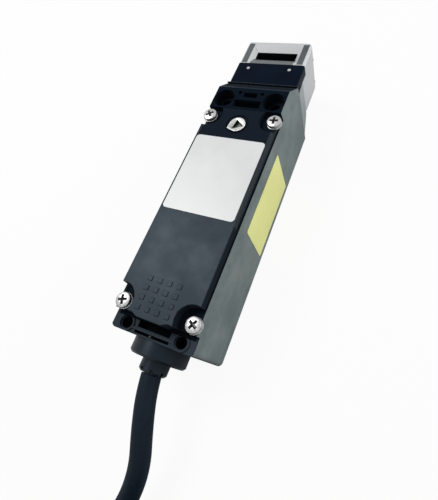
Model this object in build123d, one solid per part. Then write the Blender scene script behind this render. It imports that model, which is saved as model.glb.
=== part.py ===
from build123d import *
import math
import os

# Solenoid-locked tongue interlock switch, lying on its back.
# X runs across the body, Y along it towards the head, Z out of the front.
# Lengths below are measured from the body's lead end (Y) and rear face (Z), in millimetres.
# The finished pieces are moved so that the origin is the centre of the four mounting holes.

# Case
body_width = 35.0
body_length = 118.5
body_depth = 34.0
wall = 2.4
corner_radius = 2.0
flange_length = 6.6
flange_drop = 2.6
top_block_length = 19.5
rim_rise = 4.0
shoulder_length = 7.7
side_draft = 0.5
draft_depth = 5.5

# Mounting holes
mount_hole_radius = 2.15
mount_side_inset = 6.0
mount_end_inset = 3.0
mount_head_inset = 13.5
boss_radius = 3.2
mount_rim_radius = 2.6
mount_rim_depth = 0.8
pocket_radius = 4.7
pocket_depth = 4.4

# Cover
cover_side_gap = 1.1
cover_height = 4.0
cover_wall = 2.0
cover_end_gap = 5.7
cutout_radius = 6.0
ear_thickness = 1.6
low_ear_thickness = 1.75
ear_clearance = 0.2
seal_land = 1.3
gasket_margin = 0.3
gasket_thickness = 0.8
label_thickness = 0.15
stud_pitch_x = 4.05
stud_pitch_y = 3.57
stud_start = 2.3
stud_half = 0.9
stud_height = 0.25

# Cover screws
screw_side_inset = 2.7
screw_end_inset = 4.0
screw_head_radius = 3.1
screw_head_height = 2.4
screw_radius = 1.25
screw_length = 9.0

# Head
head_side_gap = 1.2
head_length = 27.0
head_rear = 8.5
head_front = 33.2
head_wall = 4.1
collar_length = 8.5
plate_length = 12.6
plate_depth = 5.0
plate_wall = 1.6
slot_width = 20.0
slot_height = 4.8
funnel_flare = 2.2
funnel_rise = 2.8
funnel_lip = 3.5
funnel_depth = 2.0
end_wall = 4.1
head_screw_radius = 1.25
head_screw_head = 2.0
head_screw_sink = 8.5

# Cam, its pin and the rod
cam_above_body = 13.4
rod_depth = 19.6
cam_radius = 6.8
cam_plate = 6.0
cam_side_gap = 0.6
cam_notch = 3.6
cam_turn = 60.0
rod_travel = 2.6
pin_radius = 1.6
pin_clearance = 0.05
rod_radius = 2.4
rod_tip_radius = 1.5
rod_gap = 0.35
rod_collar_radius = 4.4
rod_collar_height = 2.5
bush_radius = 5.0
bush_length = 12.5
seal_length = 2.3

# Lock lever and solenoid
pivot_below_top = 34.5
pivot_behind_middle = 0.7
lever_swing = 28.0
lever_half_width = 1.8
tip_reach = 8.3
tip_half_width = 4.0
tip_back = 1.45
lever_pin_radius = 1.2
lever_hub_wall = 1.0
lever_clearance = 0.4
cheek_gap = 0.4
cheek_thickness = 2.0
solenoid_length = 42.6
solenoid_below_pivot = 15.4
yoke_width = 17.0
yoke_thickness = 1.5
yoke_seat = 0.2
yoke_margin = 0.4
block_clearance = 0.7
bobbin_wall = 0.6
bobbin_flange = 1.2
winding_depth = 1.5
winding_gap = 0.3
plunger_clearance = 0.1
plunger_gap = 0.8
shoulder_lift = 7.9
shoulder_thickness = 1.2
solenoid_core_length = 19.2
finger_radius = 1.0
spring_wire = 0.45
spring_sides = 6
wire_sides = 8
wire_pitch = 3.2
wire_straight = 7.0
wire_bend = 3.0

# Contact block
block_width = 22.0
block_length = 34.0
block_below_top = 40.5
block_depth = 13.4
block_wall = 1.6
carrier_width = 7.2
carrier_height = 7.4
carrier_length = 23.0
bridge_length = 14.0
bridge_height = 3.0
bridge_thickness = 0.8
bridge_pitch = 9.0
contact_gap = 0.3
board_thickness = 1.4
board_part_share = 8 / 19
board_width = 26.0
ledge_width = 4.0
ledge_length = 4.0
lid_thickness = 1.2
contact_arm = 0.8

# Release key
key_below_top = 27.7
key_radius = 3.7
key_head = 2.4
key_shaft_radius = 2.4
key_socket_radius = 2.4
key_socket_depth = 1.8
key_proud = 0.2
key_boss_radius = 6.4
key_boss_height = 2.4
key_lobe_radius = 1.6
key_lobe_offset = 2.8
retainer_thickness = 0.6

# Cable entry and lead
entry_depth = 20.0
entry_length = 15.5
entry_radius = 6.0
gland_radius = 10.9
gland_length = 5.7
nut_radius = 5.4
nut_length = 4.8
lead_radius = 3.8
seal_clearance = 0.05
core_radius = 0.75
core_offset = 1.6
stripped_length = 14.0

# Labels
front_label_length = 35.9
front_label_inset = 0.9
front_label_below_top = 35.2
side_label_length = 37.5
side_label_depth = 24.4
side_label_rear = 3.0
side_label_below_top = 31.8
side_label_thickness = 0.1

# Free lead beyond the nut: a route chosen by hand, from the lead end of the body
lead_route = [
    (0.0, -10.5, 20.0),
    (0.0, -24.5, 20.0),
    (1.2, -40.0, 13.6),
    (-1.0, -56.0, 6.8),
    (-7.2, -71.5, 3.9),
    (-11.7, -79.3, 3.9),
]
coil_center = (22.1, -98.7)
coil_inner_radius = 35.2
coil_rows = 1
coil_layers = 4

# Places worked out from the sizes
half = body_width / 2
cover_width = body_width - 2 * cover_side_gap
head_width = body_width - 2 * head_side_gap
top_start = body_length - top_block_length
flange_front = body_depth - flange_drop
rim_front = body_depth + rim_rise
cover_front = body_depth + cover_height
head_end = body_length + head_length
mount_x = half - mount_side_inset
mount_head_y = body_length - mount_head_inset
mount_pitch_y = mount_head_y - mount_end_inset
screw_x = half - screw_side_inset
screw_top_y = top_start - screw_end_inset
ear_radius = cutout_radius + 0.6
screw_low_y = flange_length + screw_end_inset - 1.0
cam_y = body_length + cam_above_body
collar_end = body_length + collar_length
plate_rear = head_front - plate_depth
plate_end = body_length + 0.5 + plate_length
head_half = head_width / 2
hollow_half = head_half - head_wall
head_hollow_end = head_end - end_wall
cam_rear = rod_depth - cam_radius - 0.6
cam_front = rod_depth + cam_radius + 0.5
pin_half = head_half - 1.4
cam_half = hollow_half - cam_side_gap
head_screw_x = hollow_half + head_wall / 2 - 0.3
head_screw_low = body_length - head_screw_sink
head_screw_depths = (head_rear + 3.6, plate_rear - 3.2)
slot_low = cam_y + cam_radius - 2.5
end_slot_low = rod_depth + 2.4
rod_tip_y = cam_y - cam_radius - rod_gap
pivot_y = body_length - pivot_below_top
rod_collar_low = pivot_y + tip_reach - 1.3
block_rear = rod_depth - rod_radius - 1.0
coil_low = wall + yoke_thickness + yoke_seat
coil_radius = (block_rear - block_clearance - yoke_margin - coil_low) / 2
solenoid_depth = coil_low + coil_radius
bobbin_outer = coil_radius - winding_gap - winding_depth
bobbin_bore = bobbin_outer - bobbin_wall
plunger_radius = bobbin_bore - plunger_clearance
pivot_depth = (rod_depth + solenoid_depth) / 2 - pivot_behind_middle
finger_reach = pivot_depth - solenoid_depth
finger_swing = math.radians(lever_swing / 2)
plunger_travel = 2 * finger_reach * math.tan(finger_swing)
finger_y = pivot_y - finger_reach * math.tan(finger_swing)
solenoid_top = pivot_y - solenoid_below_pivot
solenoid_low = solenoid_top - solenoid_length
bobbin_low = solenoid_low + yoke_thickness
bobbin_top = solenoid_top - yoke_thickness
shoulder_y = solenoid_top + shoulder_lift
cheek_inner = plunger_radius + cheek_gap
hub_radius = lever_pin_radius + lever_hub_wall
block_top = body_length - block_below_top
block_low = block_top - block_length
block_front = block_rear + block_depth
carrier_top = block_top - block_wall - rod_travel - 0.6
carrier_low = carrier_top - carrier_length
carrier_rear = rod_depth - rod_radius + 0.4
carrier_front = carrier_rear + carrier_height
bridge_rear = rod_depth + 0.8
lid_front = block_front + lid_thickness
board_front = lid_front + board_thickness
board_part_front = board_front + (cover_front - cover_wall - board_front) * board_part_share
key_y = body_length - key_below_top
retainer_low = cover_front - cover_wall - key_boss_height - 1.0
coil_width = coil_rows * 2 * lead_radius
coil_height = coil_layers * 2 * lead_radius
core_spots = [(-core_offset, -core_offset), (-core_offset, core_offset)]
core_spots += [(core_offset, core_offset), (core_offset, -core_offset)]
shift = Pos(0, -(mount_end_inset + mount_pitch_y / 2), 0)

os.makedirs("parts", exist_ok=True)


def save(name, shape):
    """Write one piece, moved to the shared origin."""
    export_step(shift * shape, f"parts/{name}.step")
    return shape


def block(x0, x1, y0, y1, z0, z1):
    center = Pos((x0 + x1) / 2, (y0 + y1) / 2, (z0 + z1) / 2)
    return center * Box(x1 - x0, y1 - y0, z1 - z0)


def bar_x(radius, x0, x1, y, z):
    return Pos((x0 + x1) / 2, y, z) * Rot(0, 90, 0) * Cylinder(radius, x1 - x0)


def bar_y(radius, y0, y1, z, x=0.0):
    return Pos(x, (y0 + y1) / 2, z) * Rot(90, 0, 0) * Cylinder(radius, y1 - y0)


def bar_z(radius, z0, z1, x, y):
    return Pos(x, y, (z0 + z1) / 2) * Cylinder(radius, z1 - z0)


def group(pieces):
    """Keep like pieces of one node together as separate solids."""
    total = pieces[0]
    for piece in pieces[1:]:
        total += piece
    return total


def mirrored(shape):
    return shape + mirror(shape, Plane.YZ)


def side_profile(points, half_thickness):
    """Extrude a closed outline in the YZ plane to both sides of the middle."""
    face = make_face(Polyline(*points, close=True).edges())
    return extrude(Plane.YZ * face, half_thickness, both=True)


def spring_y(radius, wire, y0, y1, z, turns):
    """A coil spring along Y between two planes."""
    rise = y1 - y0 - 2 * wire
    path = Helix(rise / turns, rise, radius)
    start = path @ 0
    section = Plane(origin=start, z_dir=path % 0) * RegularPolygon(wire, spring_sides)
    coil = sweep(section, path)
    return Pos(0, y1 - wire, z) * Rot(90, 0, 0) * coil


def cover_outline(inset, low_y):
    """The cover's plan outline, drawn in by a margin, with its four screw corners cut out."""
    side = cover_width / 2 - inset
    outline = Pos(0, (low_y + top_start - inset) / 2) * Rectangle(2 * side, top_start - inset - low_y)
    for x in (-screw_x, screw_x):
        for y in (screw_low_y, screw_top_y):
            outline -= Pos(x, y) * Circle(cutout_radius + inset)
    return outline


def make_case():
    profile = [
        (0, 0),
        (body_length, 0),
        (body_length, body_depth - 1.4),
        (body_length - shoulder_length, rim_front),
        (top_start, rim_front),
        (top_start, body_depth),
        (flange_length, body_depth),
        (flange_length, flange_front),
        (0, flange_front),
    ]
    case = side_profile(profile, half)
    upright = case.edges().filter_by(Axis.Z).group_by(Axis.Y)[0]
    case = fillet(upright, corner_radius)
    for side in (-1, 1):
        draft = [
            (side * half, body_depth - draft_depth),
            (side * (half + 1), body_depth - draft_depth),
            (side * (half + 1), rim_front + 1),
            (side * (half - 2 * side_draft), rim_front + 1),
            (side * (half - side_draft), body_depth),
        ]
        wedge = make_face(Polyline(*draft, close=True).edges())
        case -= extrude(Plane.XZ * wedge, -body_length * 1.2)
    # Hollow for the works, leaving columns for the cover screws
    cavity = cover_outline(seal_land, entry_length)
    case -= Pos(0, 0, wall) * extrude(cavity, body_depth)
    seat = cover_outline(gasket_margin, entry_length - seal_land + gasket_margin)
    case -= Pos(0, 0, body_depth - gasket_thickness) * extrude(seat, gasket_thickness)
    # Pits where the lower ears of the cover sit
    pit = mirrored(bar_z(ear_radius + ear_clearance, flange_front, body_depth, screw_x, screw_low_y))
    pit_half = cover_width / 2 + ear_clearance
    pit &= block(-pit_half, pit_half, 0, body_length, flange_front, body_depth)
    case -= pit
    low_seat = flange_front + low_ear_thickness
    case -= mirrored(bar_z(screw_head_radius + 0.2, low_seat, body_depth + 1, screw_x, screw_low_y))
    tab_room = block(-screw_x, screw_x, cover_end_gap - 0.2, entry_length - 4, flange_front, body_depth + 1)
    case -= tab_room
    # Ledges that carry the contact block
    for y in (block_low + 3, block_top - 7):
        ledge = block(half - wall - ledge_width, half - wall, y, y + ledge_length, wall, block_rear)
        case += mirrored(ledge)
    # Cable entry and rod bore
    case -= bar_y(entry_radius, -1, entry_length + 1, entry_depth)
    case -= bar_y(bush_radius, top_start - seal_land - 1, body_length + 1, rod_depth)
    # Four mounting holes with their bosses and pockets
    boss = bar_z(boss_radius, flange_front, flange_front + 0.6, mount_x, mount_end_inset)
    pocket = bar_z(pocket_radius, rim_front - pocket_depth, rim_front + 1, mount_x, mount_head_y - 0.6)
    low_hole = bar_z(mount_hole_radius, -1, rim_front, mount_x, mount_end_inset)
    top_hole = bar_z(mount_hole_radius, -1, rim_front, mount_x, mount_head_y)
    boss &= block(0, half, 0, flange_length, flange_front, body_depth)
    case += mirrored(boss)
    boss_front = flange_front + 0.6
    rim = bar_z(mount_rim_radius, boss_front - mount_rim_depth, boss_front + 1, mount_x, mount_end_inset)
    case -= mirrored(pocket + low_hole + top_hole + rim)
    # Moulded recesses in the flange and in the head end
    case -= block(-7.2, 7.2, 0.7, 1.7, flange_front - 2.5, flange_front + 1)
    case += block(-mount_x + 3, mount_x - 3, 1.7, 2.5, flange_front, flange_front + 0.5)
    case -= block(-6.8, 6.8, 2.9, cover_end_gap - 0.2, flange_front - 3.5, flange_front + 1)
    recess_y = top_start + 1.2
    case -= block(-6.2, 6.2, recess_y, recess_y + 3.8, rim_front - 10, rim_front + 1)
    case -= block(-3.1, 3.1, recess_y + 5.6, recess_y + 8.1, rim_front - 7, rim_front + 1)
    case -= mirrored(block(4.4, 5.9, recess_y + 7.2, recess_y + 8.7, rim_front - 3, rim_front + 1))
    # Threaded holes for the screws of the cover and the head
    for y, front in ((screw_low_y, flange_front), (screw_top_y, body_depth)):
        case -= mirrored(bar_z(screw_radius, front - screw_length, front + 1, screw_x, y))
    case -= head_screw_bars(head_screw_radius, head_screw_low, body_length + 1)
    return case



def head_screw_bars(radius, y0, y1):
    bars = [bar_y(radius, y0, y1, z, head_screw_x) for z in head_screw_depths]
    return mirrored(bars[0] + bars[1])


def make_head_screws():
    screws = []
    for x in (-head_screw_x, head_screw_x):
        for z in head_screw_depths:
            shank = bar_y(head_screw_radius, head_screw_low + 0.5, head_end - 2.0, z, x)
            head = bar_y(head_screw_head, head_end - 2.0, head_end - 0.2, z, x)
            socket = bar_y(0.9, head_end - 1.4, head_end, z, x)
            screws.append(shank + head - socket)
    return group(screws)


def make_cover():
    side = cover_width / 2
    raised = extrude(cover_outline(0, flange_length), cover_height, taper=2)
    cover = Pos(0, 0, body_depth) * raised
    tab = [
        (-5.0, cover_end_gap),
        (5.0, cover_end_gap),
        (screw_x - cutout_radius + 0.4, flange_length + 1),
        (screw_x - cutout_radius + 0.4, entry_length - 4.4),
        (-screw_x + cutout_radius - 0.4, entry_length - 4.4),
        (-screw_x + cutout_radius - 0.4, flange_length + 1),
    ]
    tab_face = make_face(Polyline(*tab, close=True).edges())
    for x in (-screw_x, screw_x):
        tab_face -= Pos(x, screw_low_y) * Circle(cutout_radius)
    cover += Pos(0, 0, flange_front) * extrude(tab_face, cover_front - flange_front)
    # Hollow under the cover
    hollow = cover_outline(cover_wall, entry_length)
    cover -= Pos(0, 0, body_depth) * extrude(hollow, cover_height - cover_wall)
    # Ears under the screw heads
    for y, rear, front, low, high in (
        (screw_top_y, body_depth, body_depth + ear_thickness, screw_top_y - 7, top_start),
        (screw_low_y, flange_front, flange_front + low_ear_thickness, flange_length, entry_length),
    ):
        ear = mirrored(bar_z(ear_radius, rear, front, screw_x, y))
        ear &= block(-side, side, low, high, rear, front)
        cover += ear
        cover -= mirrored(bar_z(screw_radius + 0.15, rear - 1, rear + 4, screw_x, y))
    # Key boss, its counterbore and the groove around it
    boss_front = cover_front - cover_wall
    cover += bar_z(key_boss_radius, boss_front - key_boss_height, boss_front, 0, key_y)
    cover -= bar_z(key_radius + 1.3, cover_front - 0.4, cover_front + 1, 0, key_y)
    cover -= bar_z(key_radius + 0.3, cover_front - key_head, cover_front + 1, 0, key_y)
    cover -= bar_z(key_shaft_radius + 0.05, retainer_low, cover_front, 0, key_y)
    # Raised studs on the lower half
    for row in range(4):
        for column in range(4):
            x = (column - 1.5) * stud_pitch_x
            y = flange_length + stud_start + row * stud_pitch_y
            stud = Box(2 * stud_half, 2 * stud_half, 2 * stud_height)
            cover += Pos(x, y, cover_front) * stud
    return cover


def make_gasket():
    ring = cover_outline(gasket_margin, entry_length - seal_land + gasket_margin)
    ring -= cover_outline(seal_land, entry_length)
    return Pos(0, 0, body_depth - gasket_thickness) * extrude(ring, gasket_thickness)


def make_cover_screws():
    screws = []
    for x in (-screw_x, screw_x):
        low_seat = flange_front + low_ear_thickness
        for y, seat in ((screw_low_y, low_seat), (screw_top_y, body_depth + ear_thickness)):
            head = bar_z(screw_head_radius, seat, seat + screw_head_height, x, y)
            rim = head.edges().filter_by(GeomType.CIRCLE).sort_by(Axis.Z)[-1]
            head = chamfer(rim, screw_head_height / 4)
            shank = bar_z(screw_radius, seat - screw_length, seat, x, y)
            top = seat + screw_head_height
            cross = block(x - 1.7, x + 1.7, y - 0.45, y + 0.45, top - 1.2, top + 1)
            cross += block(x - 0.45, x + 0.45, y - 1.7, y + 1.7, top - 1.2, top + 1)
            screws.append(head + shank - cross)
    return group(screws)


def label(width, length, thickness, corner):
    return extrude(RectangleRounded(width, length, corner), thickness)


def make_front_label():
    width = cover_width - 2 * front_label_inset
    center_y = body_length - front_label_below_top - front_label_length / 2
    return Pos(0, center_y, cover_front) * label(width, front_label_length, label_thickness, 1.5)


def make_side_label():
    center_y = body_length - side_label_below_top - side_label_length / 2
    center_z = side_label_rear + side_label_depth / 2
    sheet = label(side_label_depth, side_label_length, side_label_thickness, 1.0)
    return Pos(half, center_y, center_z) * Rot(0, 90, 0) * sheet


def make_collar():
    """Tapered foot of the head, from the body's end to the narrower casting."""
    foot_face = Pos(0, body_depth / 2) * Rectangle(body_width - 0.8, body_depth - 0.8)
    top_face = Pos(0, (head_rear + plate_rear) / 2) * Rectangle(head_width, plate_rear - head_rear)
    foot = Plane(origin=(0, body_length, 0), x_dir=(-1, 0, 0), z_dir=(0, 1, 0)) * foot_face
    top = Plane(origin=(0, collar_end, 0), x_dir=(-1, 0, 0), z_dir=(0, 1, 0)) * top_face
    collar = loft([foot, top])
    collar -= block(-half, half, body_length + 0.5, collar_end + 1, plate_rear, head_front + 1)
    hollow_low = body_length + 2.5
    collar -= block(-hollow_half, hollow_half, hollow_low, collar_end + 1, cam_rear, cam_front)
    collar -= bar_y(rod_radius + 0.3, body_length - 1, hollow_low + 1, rod_depth)
    collar -= head_screw_bars(head_screw_radius + 0.1, body_length - 1, collar_end + 1)
    return collar


def funnel(low, high, outer_low, outer_high, depth):
    """A tapered mouth, drawn towards +Z from its throat at zero."""
    throat = Pos(0, (low + high) / 2) * Rectangle(slot_width, high - low)
    mouth_width = slot_width + 2 * funnel_flare
    mouth = Pos(0, (outer_low + outer_high) / 2, depth) * Rectangle(mouth_width, outer_high - outer_low)
    return loft([throat, mouth])


def make_head():
    lower = block(-head_half, head_half, collar_end, plate_end + 0.1, head_rear, plate_rear)
    upper = block(-head_half, head_half, plate_end, head_end, head_rear, head_front)
    head = lower + upper
    long_edges = head.edges().filter_by(Axis.Y).group_by(Axis.Z)
    head = fillet(long_edges[0], 1.6)
    front_edges = head.edges().filter_by(Axis.Y).group_by(Axis.Z)[-1]
    head = chamfer(front_edges, 1.2)
    end_edges = head.edges().filter_by(Axis.X).group_by(Axis.Y)[-1].sort_by(Axis.Z)
    head = fillet(end_edges[0], 2.4)
    # Room for the cam
    head -= block(-hollow_half, hollow_half, collar_end - 1, head_hollow_end, cam_rear, cam_front)
    # Front mouth
    high = slot_low + slot_height
    front_mouth = funnel(slot_low, high, slot_low - funnel_lip, high + funnel_rise, funnel_depth + 0.01)
    head -= Pos(0, 0, head_front - funnel_depth) * front_mouth
    head -= block(-slot_width / 2, slot_width / 2, slot_low, high, cam_front - 1, head_front - 1)
    # End mouth, flared away from the front face
    end_high = end_slot_low + slot_height
    flared = funnel_rise - end_slot_low
    end_mouth = funnel(-end_high, -end_slot_low, -end_high - funnel_lip, flared, funnel_depth + 0.01)
    head -= Pos(0, head_end - funnel_depth, 0) * Rot(-90, 0, 0) * end_mouth
    head -= block(-slot_width / 2, slot_width / 2, head_hollow_end - 1, head_end - 1, end_slot_low, end_high)
    # Matt strips beside the front mouth
    strip_x = slot_width / 2 + funnel_flare + 0.5
    strip_low = plate_end + 0.9
    strip = block(strip_x, head_half - 1.4, strip_low, head_end - 1.2, head_front - 0.3, head_front + 1)
    head -= mirrored(strip)
    # Cam pin and screw holes
    head -= bar_x(pin_radius, -pin_half, pin_half, cam_y, rod_depth)
    head -= head_screw_bars(head_screw_radius + 0.1, collar_end - 1, head_end)
    head -= head_screw_bars(head_screw_head + 0.1, head_end - 2.0, head_end + 1)
    return head


def make_front_plate():
    side = head_half + 0.1
    plate = block(-side, side, body_length + 0.6, plate_end - 0.1, plate_rear + 0.1, head_front)
    front_edges = plate.edges().filter_by(Axis.Y).group_by(Axis.Z)[-1]
    plate = fillet(front_edges, 1.0)
    low_y = body_length + 0.6 + plate_wall
    inner = head_half - plate_wall
    plate -= block(-inner, inner, low_y, plate_end - plate_wall, plate_rear - 1, head_front - plate_wall)
    plate -= mirrored(bar_z(0.75, plate_rear - 1, head_front + 1, 10.1, plate_end - 3.3))
    return plate


def make_plate_pins():
    return mirrored(bar_z(0.75, head_front - plate_wall, head_front + 0.1, 10.1, plate_end - 3.3))


def make_cam():
    """Drum with a central cam whose radius falls evenly with angle, and two notched driver plates."""
    fall_end = math.radians(cam_turn)
    dwell_end = math.radians(cam_turn + 42)
    low_radius = cam_radius - rod_travel

    def spot(radius, angle):
        """A point at an angle from the rod's side, turning towards the rear."""
        return (cam_y - radius * math.cos(angle), rod_depth - radius * math.sin(angle))

    steps = 6
    fall = [spot(cam_radius - rod_travel * i / steps, fall_end * i / steps) for i in range(steps + 1)]
    falling = Spline(*fall)
    dwell_mid = spot(low_radius, (fall_end + dwell_end) / 2)
    dwell = ThreePointArc(fall[-1], dwell_mid, spot(low_radius, dwell_end))
    step = Line(spot(low_radius, dwell_end), spot(cam_radius, dwell_end))
    back = ThreePointArc(spot(cam_radius, dwell_end), spot(cam_radius, math.radians(230)), fall[0])
    face = make_face([falling, dwell, step, back])
    drum = extrude(Plane.YZ * face, cam_plate / 2, both=True)
    drum += bar_x(pin_radius + 1.2, -cam_half, cam_half, cam_y, rod_depth)
    driver = bar_x(cam_radius, cam_half - 2.6, cam_half, cam_y, rod_depth)
    notch = block(0, cam_half + 1, pin_radius + 2.2, cam_radius + 2, -cam_notch / 2, cam_notch / 2)
    notch = Pos(0, cam_y, rod_depth) * Rot(45, 0, 0) * notch
    drum += mirrored(driver - notch)
    drum -= bar_x(pin_radius + pin_clearance, -cam_half - 1, cam_half + 1, cam_y, rod_depth)
    return drum


def make_rod():
    """Push rod with a round tip under the cam and a collar for the lock lever."""
    rod = bar_y(rod_radius, carrier_top, rod_tip_y - 2.4, rod_depth)
    rod += bar_y(rod_tip_radius, rod_tip_y - 2.4, rod_tip_y - rod_tip_radius, rod_depth)
    rod += Pos(0, rod_tip_y - rod_tip_radius, rod_depth) * Sphere(rod_tip_radius)
    rod += bar_y(rod_collar_radius, rod_collar_low, rod_collar_low + rod_collar_height, rod_depth)
    rod += bar_y(rod_tip_radius, carrier_top - 6, carrier_top, rod_depth)
    return rod


def make_bush():
    bush = bar_y(bush_radius, body_length - bush_length, body_length, rod_depth)
    return bush - bar_y(rod_radius + pin_clearance, 0, head_end, rod_depth)


def make_rod_seal():
    top = body_length - bush_length
    ring = bar_y(bush_radius, top - seal_length, top, rod_depth)
    return ring - bar_y(rod_radius + 0.1, 0, head_end, rod_depth)


def make_lever():
    """Bell crank: a tip that slides under the rod's collar, and a finger in the plunger's slot."""
    tip_low = tip_reach - 3.7
    arm = [
        (pivot_y - 0.5, pivot_depth + 2.0),
        (pivot_y + tip_low + 0.4, pivot_depth - tip_back),
        (pivot_y + tip_low + 0.4, pivot_depth - tip_back - 2.25),
        (pivot_y - 0.5, pivot_depth - 2.1),
    ]
    lever = bar_x(hub_radius, -lever_half_width, lever_half_width, pivot_y, pivot_depth)
    lever += side_profile(arm, lever_half_width)
    lever += block(
        -tip_half_width,
        tip_half_width,
        pivot_y + tip_low,
        pivot_y + tip_reach,
        pivot_depth - tip_back - 2.25,
        pivot_depth - tip_back,
    )
    length = finger_reach / math.cos(finger_swing)
    stem = block(-lever_half_width, lever_half_width, -finger_radius, finger_radius, -length, 0)
    stem += bar_x(finger_radius, -lever_half_width, lever_half_width, 0, -length)
    lever += Pos(0, pivot_y, pivot_depth) * Rot(-lever_swing / 2, 0, 0) * stem
    return lever - bar_x(lever_pin_radius + pin_clearance, -9, 9, pivot_y, pivot_depth)


def make_lock_frame():
    """Bracket on the case floor whose cheeks carry the lever's pin."""
    outer = cheek_inner + cheek_thickness
    frame = block(-outer, outer, solenoid_top, pivot_y + 3.5, wall, wall + 1.4)
    cheek = block(cheek_inner, outer, pivot_y - 2.8, pivot_y + 3.5, wall, pivot_depth + 1.2)
    cheek += bar_x(lever_pin_radius + 1.6, cheek_inner, outer, pivot_y, pivot_depth)
    frame += mirrored(cheek)
    return frame - bar_x(lever_pin_radius, -outer - 1, outer + 1, pivot_y, pivot_depth)


def make_lever_pin():
    outer = cheek_inner + cheek_thickness
    return bar_x(lever_pin_radius, -outer, outer, pivot_y, pivot_depth)


def make_yoke():
    side = yoke_width / 2
    front = solenoid_depth + coil_radius + yoke_margin
    yoke = block(-side, side, solenoid_low, solenoid_top, wall, wall + yoke_thickness)
    yoke += block(-side, side, solenoid_low, solenoid_low + yoke_thickness, wall, front)
    yoke += block(-side, side, solenoid_top - yoke_thickness, solenoid_top, wall, front)
    top = solenoid_top - yoke_thickness
    return yoke - bar_y(plunger_radius + plunger_clearance, top - 1, solenoid_top + 1, solenoid_depth)


def make_bobbin():
    bobbin = bar_y(bobbin_outer, bobbin_low, bobbin_top, solenoid_depth)
    bobbin += bar_y(coil_radius, bobbin_low, bobbin_low + bobbin_flange, solenoid_depth)
    bobbin += bar_y(coil_radius, bobbin_top - bobbin_flange, bobbin_top, solenoid_depth)
    return bobbin - bar_y(bobbin_bore, bobbin_low - 1, bobbin_top + 1, solenoid_depth)


def make_coil():
    low = bobbin_low + bobbin_flange
    high = bobbin_top - bobbin_flange
    coil = bar_y(coil_radius - winding_gap, low, high, solenoid_depth)
    return coil - bar_y(bobbin_outer, low - 1, high + 1, solenoid_depth)


def make_core():
    return bar_y(bobbin_bore, bobbin_low, bobbin_low + solenoid_core_length, solenoid_depth)


def make_plunger():
    low = bobbin_low + solenoid_core_length + plunger_gap
    slot_half = finger_radius / math.cos(finger_swing) + 0.45
    end = finger_y + slot_half + 1.3
    flat = solenoid_depth + 0.6
    plunger = bar_y(plunger_radius, low, end, solenoid_depth)
    plunger += bar_y(plunger_radius + 1.4, shoulder_y, shoulder_y + shoulder_thickness, solenoid_depth)
    flat_low = pivot_y - hub_radius - lever_clearance - plunger_travel
    plunger -= block(-4, 4, flat_low, end + 1, flat, flat + 4)
    slot_floor = solenoid_depth - finger_radius - 0.6
    plunger -= block(-4, 4, finger_y - slot_half, finger_y + slot_half, slot_floor, flat + 1)
    return plunger


def make_plunger_spring():
    return spring_y(plunger_radius + 0.7, spring_wire, solenoid_top, shoulder_y, solenoid_depth, 5)


def make_contact_block():
    side = block_width / 2
    base = block(-side, side, block_low, block_top, block_rear, block_front)
    inner = side - block_wall
    low = block_low + block_wall
    base -= block(-inner, inner, low, block_top - block_wall, block_rear + 1.0, block_front + 1)
    for y in (block_low + 3, block_top - 7):
        base += mirrored(block(side, half - wall - 0.3, y, y + ledge_length, block_rear, block_rear + 2))
    return base - bar_y(rod_radius + 0.2, block_top - block_wall - 1, block_top + 1, rod_depth)


def contact_rows():
    """Rear edges along Y of the moving bridges, at rest."""
    first = carrier_low + 6.0
    return [first, first + bridge_pitch]


def terminal_bars(clearance=0.0):
    """The upright legs of the fixed contacts."""
    legs = []
    outer = block_width / 2 - block_wall
    for row in contact_rows():
        y = row + bridge_thickness + rod_travel + contact_gap
        for side in (-1, 1):
            x0, x1 = sorted((side * (outer - 1.0), side * outer))
            legs.append(block(
                x0 - clearance, x1 + clearance, y - clearance, y + contact_arm + clearance,
                bridge_rear, board_front + 0.8,
            ))
    return legs


def make_fixed_contacts():
    contacts = []
    outer = block_width / 2 - block_wall
    legs = terminal_bars()
    index = 0
    for row in contact_rows():
        y = row + bridge_thickness + rod_travel + contact_gap
        for side in (-1, 1):
            x0, x1 = sorted((side * (carrier_width / 2 + 0.8), side * outer))
            arm = block(x0, x1, y, y + contact_arm, bridge_rear, bridge_rear + bridge_height)
            contacts.append(arm + legs[index])
            index += 1
    return group(contacts)


def make_contact_lid():
    side = block_width / 2
    lid = block(-side, side, block_low, block_top, block_front, lid_front)
    for leg in terminal_bars(0.1):
        lid -= leg
    return lid


def make_board():
    side = board_width / 2
    board = block(-side, side, block_low - 4, block_top + 1, lid_front, board_front)
    for leg in terminal_bars(0.1):
        board -= leg
    return board


def make_board_parts():
    """Rectifier, suppressor and wire terminal row on the board."""
    parts = [
        block(-7.5, -3, block_top - 12, block_top - 6, board_front, board_part_front),
        block(3, 7.5, block_top - 13, block_top - 5, board_front, board_part_front),
        bar_z(2.2, board_front, board_part_front, 0, block_top - 20),
    ]
    return group(parts)


def make_carrier():
    side = carrier_width / 2
    carrier = block(-side, side, carrier_low, carrier_top, carrier_rear, carrier_front)
    for row in contact_rows():
        carrier -= block(-side - 1, side + 1, row, row + 4.2, bridge_rear, bridge_rear + bridge_height)
    return carrier - bar_y(rod_tip_radius, carrier_top - 6, carrier_top + 1, rod_depth)


def make_bridges():
    bridges = []
    for row in contact_rows():
        reach = bridge_length / 2
        bridge = block(-reach, reach, row, row + bridge_thickness, bridge_rear, bridge_rear + bridge_height)
        tip_z = bridge_rear + bridge_height / 2
        for x in (-reach + 1.3, reach - 1.3):
            bridge += bar_y(0.8, row + bridge_thickness, row + bridge_thickness + 0.2, tip_z, x)
        bridges.append(bridge)
    return group(bridges)


def make_rod_spring():
    low = block_low + block_wall
    middle = (carrier_rear + carrier_front) / 2
    return spring_y(2.4, spring_wire, low, carrier_low, middle, 4)


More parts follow.
